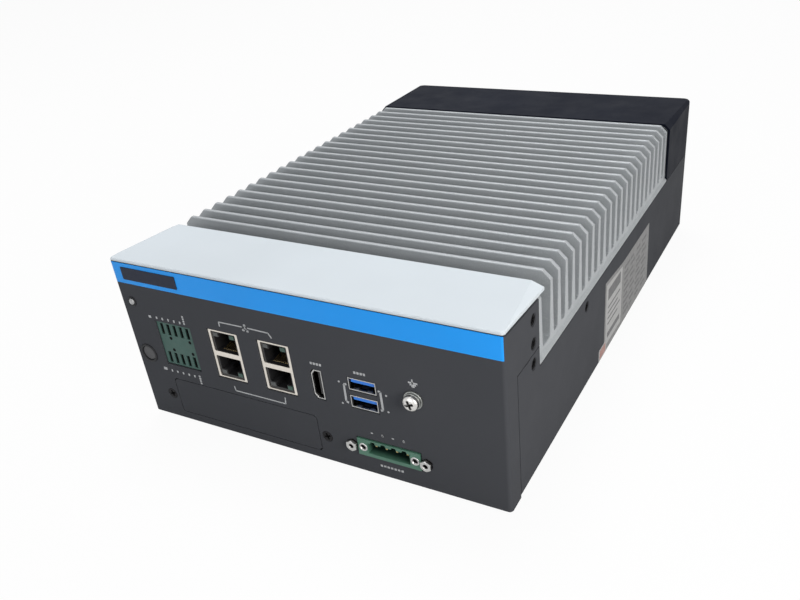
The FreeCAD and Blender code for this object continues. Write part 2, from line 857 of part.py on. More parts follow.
def flange_nuts():
    nuts = []
    for x in supply_flange_x():
        front = -supply_proud - supply_nut_proud
        nut = rod("y", x, supply_z, supply_nut_radius, front, supply_nut_end)
        bore = rod("y", x, supply_z, supply_thread_radius, front - 1, supply_nut_end + 1)
        nuts.append(nut.cut(bore))
    return nuts


def terminal_posts():
    """Hexagonal posts that the cable's plug is screwed to."""
    posts = []
    end = face_sheet + post_nut + 0.8
    for x in around(supply_x, post_span):
        head = prism(hexagon(post_flats, x, post_z), "y", -post_height, 0)
        shank = prism(hexagon(post_shank, x, post_z), "y", 0, end)
        posts.append(joined([head, shank]).cut(rod("y", x, post_z, post_thread_radius, -3, end - 1)))
    return posts


def ground_screw():
    seat = -ground_flat[1] - ground_lock[1]
    head = rod("y", *ground_at, ground_head[0], seat - ground_head[1], seat)
    return joined([head, prism(hexagon(ground_shank, *ground_at), "y", seat, face_sheet + 5)])


def ground_washers():
    """A flat washer on the panel with a lock washer on it, as one stack under the screw's head."""
    flat_front = -ground_flat[1]
    lock_front = flat_front - ground_lock[1]
    stack = joined([rod("y", *ground_at, ground_flat[0], flat_front, 0),
                    rod("y", *ground_at, ground_lock[0], lock_front, flat_front)])
    return stack.cut(prism(hexagon(ground_shank + shank_gap, *ground_at), "y", lock_front - 1, 1))


def panel_nuts():
    """Nuts behind the front panel, for the posts and the ground screw."""
    nuts = [hex_nut(post_flats, post_shank, "y", x, post_z, face_sheet, face_sheet + post_nut)
            for x in around(supply_x, post_span)]
    flats, thick = ground_nut_size
    return nuts + [hex_nut(flats, ground_shank, "y", *ground_at, face_sheet, face_sheet + thick)]


# ------------------------------------------------------------------ bay
def bay_cover():
    """Cover flush in the panel, with an ear behind the panel at each end."""
    plate = prism(bay_outline(bay_gap), "y", 0, face_sheet)
    reach = bay_screw_reach + bay_ear_end
    ears = box((bay_x[0] - reach, bay_x[1] + reach), (face_sheet, face_sheet + bay_ear_depth),
               around(bay_screw_z, bay_ear_height))
    holes = [prism(hexagon(shank_flats + shank_gap, x, bay_screw_z), "y", 0, face_sheet + 4)
             for x in bay_screw_x()]
    return cut(joined([plate, ears]), holes)


def bay_screws():
    return [flat_screw("y", x, bay_screw_z, face_sheet + bay_ear_depth + 1)
            for x in bay_screw_x()]


def tray_limits():
    front = face_sheet + bay_ear_depth
    return (bay_x[0] + tray_inset, bay_x[1] - tray_inset), (front, front + tray_length)


def drive_tray():
    """Sheet tray behind the bay cover, standing on the chassis floor."""
    x, y = tray_limits()
    top = floor_z + tray_height
    tray = box(x, y, (floor_z, top))
    return tray.cut(box((x[0] + tray_sheet, x[1] - tray_sheet), (y[0] + tray_sheet, y[1] + 1),
                        (floor_z + tray_sheet, top + 1)))


def storage_drive():
    x, y = tray_limits()
    wide, long, high = drive_size
    left, right = around(sum(x) / 2, wide)
    front = y[0] + drive_setback
    outline = [(left, front, drive_corner), (right, front, drive_corner),
               (right, front + long, drive_corner), (left, front + long, drive_corner)]
    low = floor_z + tray_sheet
    return prism(outline, "z", low, low + high)


# ------------------------------------------------------------------ boards
def standoff_places():
    return [(x, y) for x in (standoff_side, case_width - standoff_side) for y in standoff_y]


def power_standoff_places():
    return [(x, y) for x in (power_board_x[0] + 4, power_board_x[1] - 4)
            for y in (chassis_y + 6, power_board_y[1] - 5)]


def carrier_board():
    x = (board_side, case_width - board_side)
    y = (board_front, board_front + board_length)
    outline = [(notch_x, y[0]), (x[1], y[0]), (x[1], y[1]), (x[0], y[1]), (x[0], notch_y),
               (notch_x, notch_y)]
    return prism(outline, "z", board_z, board_top_z)


def carrier_standoffs():
    return [prism(hexagon(standoff_flats, x, y), "z", floor_z, board_z)
            for x, y in standoff_places()]


def board_screws():
    """Heads of the screws that hold the boards on their standoffs."""
    flats, thick = board_screw
    heads = []
    for places, top in ((standoff_places(), board_top_z), (power_standoff_places(), power_board_top_z)):
        heads += [prism(hexagon(flats, x, y), "z", top, top + thick) for x, y in places]
    return heads


def power_board():
    return box(power_board_x, power_board_y, (power_board_z, power_board_top_z))


def power_standoffs():
    return [prism(hexagon(standoff_flats, x, y), "z", floor_z, power_board_z)
            for x, y in power_standoff_places()]


def power_converter():
    wide, long, high = converter_size
    return box(around(supply_x, wide), (converter_y, converter_y + long),
               (power_board_top_z, power_board_top_z + high))


def power_coils():
    side, high = coil_size
    return [box(around(supply_x + i * coil_pitch, side), around(coil_y, side),
                (power_board_top_z, power_board_top_z + high)) for i in (-1, 0, 1)]


def board_riser():
    """Upright connector that joins the power board to the carrier board."""
    x = power_board_x[0] + riser_at[0]
    y = riser_at[1]
    return box((x, x + riser_size[0]), (y, y + riser_size[1]), (power_board_top_z, board_z))


def module_connector():
    wide, deep = module_connector_size
    y = module_centre_y - module_size[1] / 2 + module_connector_inset
    return box(around(middle_x, wide), (y, y + deep), (board_top_z, module_z))


def module_corners():
    wide, long = [size - 2 * module_screw_inset for size in module_size]
    return [(x, y) for x in around(middle_x, wide) for y in around(module_centre_y, long)]


def board_spacers():
    """Spacers under the processor board, and a short one under the radio card."""
    spacers = [prism(hexagon(standoff_flats, x, y), "z", board_top_z, module_z)
               for x, y in module_corners()]
    short = hexagon(short_spacer_flats, sum(radio_x) / 2, radio_y[0] + radio_screw_inset)
    return spacers + [prism(short, "z", board_top_z, board_top_z + radio_lift)]


def compute_module():
    """Processor board with its chip."""
    plate = box(around(middle_x, module_size[0]), around(module_centre_y, module_size[1]),
                (module_z, chip_z))
    chip = box(around(middle_x, chip_size), around(module_centre_y, chip_size), (chip_z, spreader_z))
    return joined([plate, chip])


def heat_spreader():
    """Metal plate on the chip, with a foot at each corner."""
    plate = box(around(middle_x, module_size[0]), around(module_centre_y, module_size[1]),
                (spreader_z, pad_z))
    feet = [box(around(x, module_foot), around(y, module_foot), (chip_z, spreader_z))
            for x, y in module_corners()]
    return joined([plate] + feet)


def thermal_pad():
    return box(around(middle_x, pad_size[0]), around(module_centre_y, pad_size[1]), (pad_z, pedestal_z))


def cell_holder():
    x, y = cell_at
    top = board_top_z + cell_holder_height
    room = 2 * (cell_radius + cell_gap)
    block = box(around(x, cell_holder_side), around(y, cell_holder_side), (board_top_z, top))
    return block.cut(box(around(x, room), around(y, room), (board_top_z + cell_floor, top + 1)))


def clock_cell():
    low = board_top_z + cell_floor
    return rod("z", *cell_at, cell_radius, low, low + cell_height)


def radio_socket():
    deep, high = radio_socket_size
    return box(radio_x, (radio_y[1] - deep, radio_y[1]), (board_top_z, board_top_z + high))


def radio_card():
    """Radio card in its socket, with a screening can."""
    end = radio_y[1] - radio_socket_size[0]
    low = board_top_z + radio_lift
    top = low + radio_board
    wide, long, high = radio_can
    plate = box(radio_x, (radio_y[0], end), (low, top))
    can_end = end - radio_can_setback
    can = box(around(sum(radio_x) / 2, wide), (can_end - long, can_end), (top, top + high))
    return joined([plate, can])


# ------------------------------------------------------------------ underside and rear
def rubber_feet():
    feet = []
    reach = foot_size / 2
    cut_in = reach - foot_corner
    for x in (foot_inset[0], case_width - foot_inset[0]):
        for y in (foot_inset[1], case_depth - foot_inset[1]):
            outline = [(x + cut_in, y - reach), (x + reach, y - cut_in), (x + reach, y + cut_in),
                       (x + cut_in, y + reach), (x - cut_in, y + reach), (x - reach, y + cut_in),
                       (x - reach, y - cut_in), (x - cut_in, y - reach)]
            feet.append(prism(outline, "z", -foot_height, chassis_lift))
    return feet


def bracket_places():
    return [(x, y) for x in (bracket_inset[0], case_width - bracket_inset[0])
            for y in (bracket_inset[1], case_depth - bracket_inset[1])]


def bracket_nuts():
    """Nuts pressed into the chassis floor, for a wall or rail bracket."""
    flats, height = bracket_nut
    top = floor_z + height
    nuts = []
    for x, y in bracket_places():
        nut = prism(hexagon(flats, x, y), "z", chassis_lift, top)
        nuts.append(nut.cut(rod("z", x, y, bracket_thread_radius, 0, top + 1)))
    return nuts


def case_screws():
    """Black countersunk screws of the side flanges and the chassis sides."""
    left = [flat_screw("x", flange_screw_y, z, sheet + ear_width) for z in flange_screw_z]
    left.append(flat_screw("x", *chassis_screw_at, sheet + skirt))
    return left + [mirrored(s) for s in left]


# ------------------------------------------------------------------ all pieces
nodes = {
    "front_panel": front_panel(),
    "accent_strip": accent_strip(),
    "front_top_plate": front_top_plate(),
    "lower_chassis": lower_chassis(),
    "rear_cover": rear_cover(),
    "heat_sink": heat_sink(),
    "power_button": power_button(),
    "button_ring": button_ring(),
    "button_switch": button_switch(),
    "led_ring": led_ring(),
    "status_led": status_led(),
    "front_board": front_board(),
    "front_board_header": front_board_header(),
    "dio_terminal": dio_terminal(),
    "dio_contacts": dio_contacts(),
    "lan_windows": lan_windows(),
    "lan_contacts": lan_contacts_at(lan_x[0]) + lan_contacts_at(lan_x[1]),
    "video_shell": video_shell(),
    "video_tongue": video_tongue(),
    "usb_shell": usb_shell(),
    "usb_insert": usb_insert(),
    "usb_tongues": usb_tongues(),
    "ground_screw": ground_screw(),
    "ground_washers": ground_washers(),
    "power_terminal": power_terminal(),
    "power_pins": power_pins(),
    "flange_nuts": flange_nuts(),
    "terminal_posts": terminal_posts(),
    "panel_nuts": panel_nuts(),
    "bay_cover": bay_cover(),
    "bay_screws": bay_screws(),
    "drive_tray": drive_tray(),
    "storage_drive": storage_drive(),
    "carrier_board": carrier_board(),
    "carrier_standoffs": carrier_standoffs(),
    "board_screws": board_screws(),
    "power_board": power_board(),
    "power_standoffs": power_standoffs(),
    "power_converter": power_converter(),
    "power_coils": power_coils(),
    "board_riser": board_riser(),
    "module_connector": module_connector(),
    "board_spacers": board_spacers(),
    "compute_module": compute_module(),
    "heat_spreader": heat_spreader(),
    "thermal_pad": thermal_pad(),
    "cell_holder": cell_holder(),
    "clock_cell": clock_cell(),
    "radio_socket": radio_socket(),
    "radio_card": radio_card(),
    "rubber_feet": rubber_feet(),
    "bracket_nuts": bracket_nuts(),
    "case_screws": case_screws(),
}
for name, x in zip(("left", "right"), lan_x):
    nodes["lan_shell_" + name] = lan_shell_piece(x)
    nodes["lan_insert_" + name] = lan_insert(x)

# The row's frame: its origin is under the middle of the whole object's box, on the floor.
whole_depth = case_depth + front_reach
to_row = V(-middle_x, front_reach - whole_depth / 2, foot_height)

os.makedirs("parts", exist_ok=True)
for name, piece in nodes.items():
    shape = Part.makeCompound(piece) if isinstance(piece, list) else piece
    shape.translate(to_row)
    shape.exportStep("parts/" + name + ".step")
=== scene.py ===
"""Looks of a fanless industrial computer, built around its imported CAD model."""

import math

import bmesh
import bpy
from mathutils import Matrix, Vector


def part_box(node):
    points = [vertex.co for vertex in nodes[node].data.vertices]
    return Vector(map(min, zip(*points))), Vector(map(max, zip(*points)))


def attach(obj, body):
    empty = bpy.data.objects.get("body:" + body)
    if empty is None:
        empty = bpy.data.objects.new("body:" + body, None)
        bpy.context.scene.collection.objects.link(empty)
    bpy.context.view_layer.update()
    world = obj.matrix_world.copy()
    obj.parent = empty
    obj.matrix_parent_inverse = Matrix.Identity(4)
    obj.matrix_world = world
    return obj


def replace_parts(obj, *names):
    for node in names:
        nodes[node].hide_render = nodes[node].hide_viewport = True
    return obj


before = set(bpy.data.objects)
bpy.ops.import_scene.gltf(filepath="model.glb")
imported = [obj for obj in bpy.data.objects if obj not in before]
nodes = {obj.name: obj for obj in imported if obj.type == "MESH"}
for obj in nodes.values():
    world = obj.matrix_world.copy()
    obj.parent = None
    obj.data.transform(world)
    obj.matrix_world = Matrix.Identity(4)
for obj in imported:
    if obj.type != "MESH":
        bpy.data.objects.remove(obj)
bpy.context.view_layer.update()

MM = 0.001
origin = Vector(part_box("front_panel")[0])


def case(x, y, z):
    """A place on the case in mm: from its left side, its front face and the panel's lower edge."""
    return origin + Vector((x, y, z)) * MM


# ---------------------------------------------------------------- sizes repeated from the model
# All in mm. Places on the front and the rear are (x, z), those on the sides are (y, z).
WIDTH, DEPTH = 192.0, 296.0
CORNER = 1.8                # radius of the panel's upright corners
BAND_LOW = 73.1             # lower edge of the band
BUTTON = (7.8, 36.0)
LED = (7.2, 63.9)
GROUND = (152.0, 46.3)
LAN_X = (57.8, 85.2)
SUPPLY_X, SUPPLY_Z = 137.0, 14.7
PIN_PITCH = 5.08
FLANGE_NUTS = [(SUPPLY_X + way * 12.55, SUPPLY_Z) for way in (-1, 1)]
POSTS = [(SUPPLY_X + way * 17.95, 14.5) for way in (-1, 1)]
POST_FLATS = 4.8            # width across the flats of a post
TEST_POINTS = [(a, b) for a in (24.7, 36.1) for b in (41.0, 47.3)]
BAY_SCREWS = [(15.5, 14.5), (105.7, 14.5)]
SIDE_SCREWS = [(26.5, 55.8), (26.5, 65.0), (26.5, 75.6), (92.0, 46.0)]
REAR_SCREWS = [(32.0, 58.0), (96.0, 58.0), (160.0, 58.0)]


# ---------------------------------------------------------------- materials
class Look:
    """A procedural material: a Principled shader with noise in its colour, gloss and relief."""

    def __init__(self, name, colour, rough, **sockets):
        self.mat = bpy.data.materials.new(name)
        self.mat.use_nodes = True
        self.tree = self.mat.node_tree
        self.shader = self.tree.nodes["Principled BSDF"]
        self.place = self.new("ShaderNodeTexCoord").outputs["Object"]
        self.normal = None
        self.shader.inputs["Base Color"].default_value = (*colour, 1)
        self.shader.inputs["Roughness"].default_value = rough
        for key, value in sockets.items():
            self.shader.inputs[key.replace("_", " ")].default_value = value

    def new(self, kind, **values):
        node = self.tree.nodes.new(kind)
        for key, value in values.items():
            setattr(node, key, value)
        return node

    def link(self, a, b):
        self.tree.links.new(a, b)

    def stretched(self, scale):
        """The object's coordinates in metres, scaled on each axis."""
        node = self.new("ShaderNodeMapping")
        self.link(self.place, node.inputs["Vector"])
        node.inputs["Scale"].default_value = scale
        return node.outputs["Vector"]

    def noise(self, scale, detail=3.0, rough=0.55, where=None):
        node = self.new("ShaderNodeTexNoise")
        self.link(where or self.place, node.inputs["Vector"])
        node.inputs["Scale"].default_value = scale
        node.inputs["Detail"].default_value = detail
        node.inputs["Roughness"].default_value = rough
        return node.outputs["Fac"]

    def spread(self, fac, low, high, start=0.3, end=0.7):
        """Maps start..end of a value to low..high."""
        node = self.new("ShaderNodeMapRange")
        self.link(fac, node.inputs["Value"])
        limits = {"From Min": start, "From Max": end, "To Min": low, "To Max": high}
        for key, value in limits.items():
            node.inputs[key].default_value = value
        return node.outputs["Result"]

    def tint(self, fac, other, start=0.3, end=0.7):
        """Mixes another colour over the base colour by a value."""
        ramp = self.spread(fac, 0.0, 1.0, start, end)
        mix = self.new("ShaderNodeMix", data_type="RGBA")
        self.link(ramp, mix.inputs["Factor"])
        base = self.shader.inputs["Base Color"]
        if base.is_linked:
            self.link(base.links[0].from_socket, mix.inputs["A"])
        else:
            mix.inputs["A"].default_value = base.default_value
        mix.inputs["B"].default_value = (*other, 1)
        self.link(mix.outputs["Result"], base)
        return self

    def gloss(self, fac, low, high, start=0.3, end=0.7):
        self.link(self.spread(fac, low, high, start, end), self.shader.inputs["Roughness"])
        return self

    def edges(self, radius):
        """Softens the light on sharp edges."""
        node = self.new("ShaderNodeBevel", samples=6)
        node.inputs["Radius"].default_value = radius
        self.normal = node.outputs["Normal"]
        self.link(self.normal, self.shader.inputs["Normal"])
        return self

    def relief(self, fac, depth, strength=1.0):
        node = self.new("ShaderNodeBump")
        node.inputs["Strength"].default_value = strength
        node.inputs["Distance"].default_value = depth
        self.link(fac, node.inputs["Height"])
        if self.normal:
            self.link(self.normal, node.inputs["Normal"])
        self.normal = node.outputs["Normal"]
        self.link(self.normal, self.shader.inputs["Normal"])
        return self


def painted_shade_by_depth(look, start, end, colour):
    """Painted shade: darkens a socket's material with its depth behind the panel's face, in mm."""
    axes = look.new("ShaderNodeSeparateXYZ")
    look.link(look.place, axes.inputs["Vector"])
    face = case(0, 0, 0).y
    look.tint(axes.outputs["Y"], colour, face + start * MM, face + end * MM)


def powder(name, colour, lighter, rough, grain=0.00006, **sockets):
    """Satin powder coat: fine orange peel and faint clouds."""
    look = Look(name, colour, rough, **sockets)
    look.edges(0.0004)
    look.tint(look.noise(14.0, 2.0), lighter, 0.35, 0.75)
    look.gloss(look.noise(60.0, 4.0), rough - 0.05, rough + 0.07)
    look.relief(look.noise(1400.0, 2.0, 0.5), grain, 0.35)
    return look


def metal(name, colour, darker, rough, scale=(1.0, 1.0, 1.0), grain=0.00003):
    look = Look(name, colour, rough, Metallic=1.0)
    look.edges(0.00015)
    streaks = look.noise(900.0, 3.0, 0.6, look.stretched(scale))
    look.tint(streaks, darker, 0.35, 0.8)
    look.gloss(look.noise(400.0, 3.0), rough - 0.06, rough + 0.1)
    look.relief(streaks, grain, 0.3)
    return look


def plastic(name, colour, other, rough, grain=0.00004, **sockets):
    look = Look(name, colour, rough, **sockets)
    look.edges(0.00015)
    look.tint(look.noise(250.0, 3.0), other, 0.3, 0.8)
    look.gloss(look.noise(500.0, 2.0), rough - 0.05, rough + 0.08)
    look.relief(look.noise(2500.0, 2.0), grain, 0.3)
    return look


panel_paint = powder("panel_paint", (0.053, 0.0555, 0.062), (0.056, 0.0585, 0.065), 0.72,
                     Specular_IOR_Level=0.03)
cover_dark = powder("cover_dark", (0.006, 0.0075, 0.013), (0.007, 0.009, 0.016), 0.5, 0.00003,
                    Specular_IOR_Level=0.02)
cover_white = powder("cover_white", (0.51, 0.555, 0.59), (0.55, 0.6, 0.64), 0.5, 0.00003,
                     Specular_IOR_Level=0.4)

band_blue = Look("band_blue", (0.002, 0.27, 0.78), 0.35, Specular_IOR_Level=0.3)
band_blue.tint(band_blue.noise(30.0, 2.0), (0.003, 0.285, 0.82), 0.35, 0.7)
band_blue.gloss(band_blue.noise(300.0, 3.0), 0.3, 0.42)
band_blue.relief(band_blue.noise(900.0, 2.0), 0.00002, 0.2)

casting = Look("casting", (0.345, 0.365, 0.382), 0.42, Metallic=0.22, Specular_IOR_Level=0.3)
casting.edges(0.0005)
casting.tint(casting.noise(120.0, 4.0, 0.65, casting.stretched((0.25, 1.0, 1.0))),
             (0.31, 0.33, 0.345), 0.35, 0.75)
casting.tint(casting.noise(1800.0, 2.0), (0.41, 0.43, 0.445), 0.5, 0.85)
casting.gloss(casting.noise(90.0, 4.0), 0.38, 0.48)
casting.relief(casting.noise(2600.0, 3.0, 0.6), 0.00008, 0.45)

button_black = plastic("button_black", (0.012, 0.0125, 0.014), (0.018, 0.019, 0.022), 0.5,
                       Specular_IOR_Level=0.2)
button_grey = plastic("button_grey", (0.04, 0.041, 0.044), (0.05, 0.051, 0.055), 0.5)
light_pipe = plastic("light_pipe", (0.66, 0.67, 0.67), (0.46, 0.47, 0.48), 0.2,
                     Transmission_Weight=0.35, IOR=1.49)
window_green = plastic("window_green", (0.012, 0.05, 0.036), (0.018, 0.07, 0.05), 0.3)
window_clear = plastic("window_clear", (0.06, 0.065, 0.065), (0.04, 0.045, 0.045), 0.3)
black_plastic = plastic("black_plastic", (0.008, 0.008, 0.009), (0.014, 0.014, 0.015), 0.45)
terminal_green = plastic("terminal_green", (0.027, 0.073, 0.06), (0.035, 0.088, 0.074), 0.6)
# painted shade in the signal terminal's wire slots, darker with depth
painted_shade_by_depth(terminal_green, 0.7, 1.4, (0.001, 0.002, 0.002))
supply_green = plastic("supply_green", (0.047, 0.13, 0.09), (0.065, 0.17, 0.115), 0.5)
# painted shade inside the supply terminal, darker with depth
painted_shade_by_depth(supply_green, -0.3, 3.2, (0.002, 0.016, 0.011))
tongue_blue = plastic("tongue_blue", (0.008, 0.15, 0.6), (0.01, 0.18, 0.7), 0.4)
contact_metal = metal("contact_metal", (0.78, 0.6, 0.3), (0.6, 0.44, 0.2), 0.3)
shield_steel = metal("shield_steel", (0.72, 0.68, 0.62), (0.6, 0.56, 0.5), 0.32)
# painted shade inside the network shields, darker with depth
painted_shade_by_depth(shield_steel, 1.0, 4.0, (0.08, 0.08, 0.085))
socket_steel = metal("socket_steel", (0.5, 0.5, 0.49), (0.36, 0.36, 0.36), 0.35)
# painted shade inside the video and USB shells and the nuts, darker with depth
painted_shade_by_depth(socket_steel, 0.3, 1.6, (0.02, 0.02, 0.022))
washer_steel = metal("washer_steel", (0.34, 0.35, 0.34), (0.24, 0.25, 0.24), 0.4)
plated_steel = metal("plated_steel", (0.68, 0.67, 0.65), (0.52, 0.51, 0.49), 0.28)
post_steel = metal("post_steel", (0.5, 0.5, 0.49), (0.38, 0.38, 0.37), 0.38)
# painted shade on the posts towards the panel and down their bores
painted_shade_by_depth(post_steel, -1.6, -0.4, (0.02, 0.016, 0.014))
tray_steel = metal("tray_steel", (0.6, 0.61, 0.62), (0.5, 0.51, 0.53), 0.4)
drive_case = metal("drive_case", (0.62, 0.63, 0.64), (0.5, 0.51, 0.52), 0.45)
black_steel = plastic("black_steel", (0.007, 0.007, 0.008), (0.012, 0.012, 0.013), 0.6,
                      Specular_IOR_Level=0.15)
board_green = plastic("board_green", (0.01, 0.07, 0.035), (0.02, 0.1, 0.05), 0.35)
pad_grey = plastic("pad_grey", (0.3, 0.32, 0.35), (0.24, 0.26, 0.29), 0.8)
foot_rubber = plastic("foot_rubber", (0.012, 0.012, 0.012), (0.02, 0.02, 0.02), 0.75, 0.0001)
# Painted shade for the ground screw's cross recess
recess_shade = metal("recess_shade", (0.1, 0.1, 0.1), (0.05, 0.05, 0.05), 0.5)
print_white = plastic("print_white", (0.42, 0.43, 0.44), (0.32, 0.33, 0.34), 0.6)
badge_navy = plastic("badge_navy", (0.01, 0.014, 0.028), (0.014, 0.018, 0.034), 0.5,
                     Specular_IOR_Level=0.2)
# Near-black: the colour of the black screws, and painted shade in screw recesses and the flange
# nuts' bores
black_and_hole_shade = plastic("black_and_hole_shade", (0.003, 0.003, 0.0035), (0.005, 0.005, 0.0055), 0.7,
                     Specular_IOR_Level=0.05)
label_grey = plastic("label_grey", (0.16, 0.16, 0.16), (0.13, 0.13, 0.13), 0.5)
label_light = plastic("label_light", (0.33, 0.33, 0.33), (0.28, 0.28, 0.28), 0.5)
label_dark = plastic("label_dark", (0.06, 0.06, 0.063), (0.09, 0.09, 0.094), 0.5)
seal_red = plastic("seal_red", (0.27, 0.12, 0.1), (0.33, 0.19, 0.165), 0.5)

of_node = {
    "front_panel": panel_paint, "lower_chassis": panel_paint, "bay_cover": panel_paint,
    "accent_strip": band_blue, "front_top_plate": cover_white, "rear_cover": cover_dark,
    "heat_sink": casting, "button_switch": black_plastic, "front_board": board_green,
    "front_board_header": black_plastic, "dio_terminal": terminal_green,
    "dio_contacts": contact_metal, "lan_windows": window_green, "lan_contacts": contact_metal,
    "video_shell": socket_steel, "video_tongue": black_plastic, "usb_shell": socket_steel,
    "usb_insert": black_plastic, "usb_tongues": tongue_blue, "power_terminal": supply_green,
    "power_pins": contact_metal, "panel_nuts": plated_steel, "drive_tray": tray_steel,
    "storage_drive": drive_case, "carrier_board": board_green, "carrier_standoffs": plated_steel,
    "board_screws": plated_steel, "power_board": board_green, "power_standoffs": plated_steel,
    "power_converter": black_plastic, "power_coils": black_plastic, "board_riser": black_plastic,
    "module_connector": black_plastic, "board_spacers": plated_steel,
    "compute_module": board_green, "heat_spreader": drive_case, "thermal_pad": pad_grey,
    "cell_holder": black_plastic, "clock_cell": plated_steel, "radio_socket": black_plastic,
    "radio_card": board_green, "rubber_feet": foot_rubber, "bracket_nuts": plated_steel,
    "lan_shell_left": shield_steel, "lan_shell_right": shield_steel,
    "lan_insert_left": black_plastic, "lan_insert_right": black_plastic,
    "power_button": button_black, "button_ring": button_black, "led_ring": button_black,
    "status_led": light_pipe, "ground_screw": plated_steel, "ground_washers": plated_steel,
    "terminal_posts": plated_steel, "flange_nuts": plated_steel, "bay_screws": black_steel,
    "case_screws": black_steel,
}
for name, look in of_node.items():
    slots = nodes[name].material_slots
    if slots:
        for slot in slots:
            slot.material = look.mat
    else:
        nodes[name].data.materials.append(look.mat)


# ---------------------------------------------------------------- mesh helpers
def piece(name, mesh, look, body="case", smooth=40.0, inner=None):
    """Turns a bmesh into an object that rides on a body of the model."""
    bmesh.ops.recalc_face_normals(mesh, faces=mesh.faces)
    data = bpy.data.meshes.new(name)
    mesh.to_mesh(data)
    mesh.free()
    obj = bpy.data.objects.new(name, data)
    bpy.context.scene.collection.objects.link(obj)
    data.materials.append(look.mat)
    if inner:
        data.materials.append(inner.mat)
    if smooth:
        data.shade_smooth()
        data.set_sharp_from_angle(angle=math.radians(smooth))
    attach(obj, body)
    return obj


def square_to(axis):
    """Two directions square to an axis and to each other."""
    side = Vector((0, 0, 1)) if abs(axis.z) < 0.9 else Vector((1, 0, 0))
    u = axis.cross(side).normalized()
    return u, axis.cross(u)


def turned(mesh, centre, axis, profile, count=48):
    """Adds a body of revolution. The profile is (radius, distance along the axis) in mm.

    Either may be a function of the angle, for hexagonal stretches.
    """
    axis = Vector(axis)
    u, v = square_to(axis)
    rings = []
    for radius, along in profile:
        if radius == 0:
            rings.append([mesh.verts.new(centre + axis * along * MM)])
            continue
        ring = []
        for i in range(count):
            t = 2 * math.pi * i / count
            r = radius(t) if callable(radius) else radius
            a = along(t) if callable(along) else along
            out = u * math.cos(t) + v * math.sin(t)
            ring.append(mesh.verts.new(centre + (axis * a + out * r) * MM))
        rings.append(ring)
    for low, high in zip(rings, rings[1:]):
        for i in range(count):
            j = (i + 1) % count
            if len(low) == 1:
                mesh.faces.new((low[0], high[j], high[i]))
            elif len(high) == 1:
                mesh.faces.new((low[i], low[j], high[0]))
            else:
                mesh.faces.new((low[i], low[j], high[j], high[i]))
    return rings


def arc(radius, centre, start, end, steps=5):
    """Points (radius, along) of an arc in a profile, angles in degrees."""
    points = []
    for i in range(steps + 1):
        t = math.radians(start + (end - start) * i / steps)
        points.append((centre[0] + radius * math.cos(t), centre[1] + radius * math.sin(t)))
    return points


def cross_screw(mesh, centre, axis, profile, reach, depth, turn=20.0, count=48):
    """A turned screw whose profile ends round a four-armed recess with the given reach.

    The recess takes the second material of the mesh, a dark one that paints the shade in it.
    """
    axis = Vector(axis)
    outer = turned(mesh, centre, axis, profile, count)[-1]
    top = profile[-1][1]
    u, v = square_to(axis)
    half = reach * 0.28     # half the width of an arm
    star = []
    for quarter in range(4):
        t = quarter * math.pi / 2 + math.radians(turn)
        along = u * math.cos(t) + v * math.sin(t)
        across = v * math.cos(t) - u * math.sin(t)
        for a, b in ((half, -half), (reach * 0.95, -half), (reach, 0), (reach * 0.95, half)):
            star.append(along * a + across * b)
    loops = []
    for shrink, low in ((1.0, 0.0), (0.9, depth * 0.2), (0.4, depth)):
        level = axis * (top - low)
        loops.append([mesh.verts.new(centre + (level + p * shrink) * MM) for p in star])
    for low, high in zip(loops, loops[1:]):
        for i in range(len(star)):
            j = (i + 1) % len(star)
            mesh.faces.new((low[i], low[j], high[j], high[i])).material_index = 1
    mesh.faces.new(loops[-1]).material_index = 1
    border = [mesh.edges.get((a, b)) for loop in (outer, loops[0])
              for a, b in zip(loop, loop[1:] + loop[:1])]
    bmesh.ops.triangle_fill(mesh, use_beauty=True, edges=border)


def slab(mesh, outline, back, front, place):
    """Adds a flat plate with a closed outline between two depths."""
    low = [mesh.verts.new(place(a, back, b)) for a, b in outline]
    high = [mesh.verts.new(place(a, front, b)) for a, b in outline]
    mesh.faces.new(low)
    mesh.faces.new(high)
    count = len(outline)
    for i in range(count):
        j = (i + 1) % count
        mesh.faces.new((low[i], low[j], high[j], high[i]))


def on_front(a, depth, b):
    """(x, z) on the front face, depth in mm out of it."""
    return case(a, -depth, b)


def on_right(a, depth, b):
    """(y, z) on the right side, depth in mm out of it."""
    return case(WIDTH + depth, a, b)


def rect(a0, a1, b0, b1):
    return [(a0, b0), (a1, b0), (a1, b1), (a0, b1)]


def soft_rect(a0, a1, b0, b1, r):
    """A rectangle with small rounded corners."""
    points = []
    for a, b, start in ((a1 - r, b1 - r, 0), (a0 + r, b1 - r, 90), (a0 + r, b0 + r, 180),
                        (a1 - r, b0 + r, 270)):
        points += arc(r, (a, b), start, start + 90, 3)
    return points


def disc(a, b, r, count=14):
    turns = [2 * math.pi * i / count for i in range(count)]
    return [(a + r * math.cos(t), b + r * math.sin(t)) for t in turns]


def bar(p, q, width):
    """A straight stroke between two points."""
    (a, b), (c, d) = p, q
    length = math.hypot(c - a, d - b)
    na, nb = -(d - b) / length * width / 2, (c - a) / length * width / 2
    return [(a - na, b - nb), (c - na, d - nb), (c + na, d + nb), (a + na, b + nb)]


# ---------------------------------------------------------------- camera and light
WORLD_LIGHT = 0.2           # what the world adds to the lamps; it is seen as plain white
FLOOR_REACH = 4.0           # metres from the middle
FLOOR_SHOWN = 0.95          # share of plain white in the floor; the rest keeps the shadow

scene = bpy.context.scene
camera = bpy.data.objects.new("camera", bpy.data.cameras.new("camera"))
scene.collection.objects.link(camera)
scene.camera = camera
camera.location = case(288.39, -213.61, 228.85)
camera.rotation_euler = (1.031628, 0.077959, 0.471476)
camera.data.sensor_width = 36.0
camera.data.lens = 35.858
camera.data.shift_x = -0.04973
camera.data.shift_y = 0.03409
camera.data.clip_start = 0.01
camera.data.clip_end = 50.0

scene.view_settings.view_transform = "Standard"


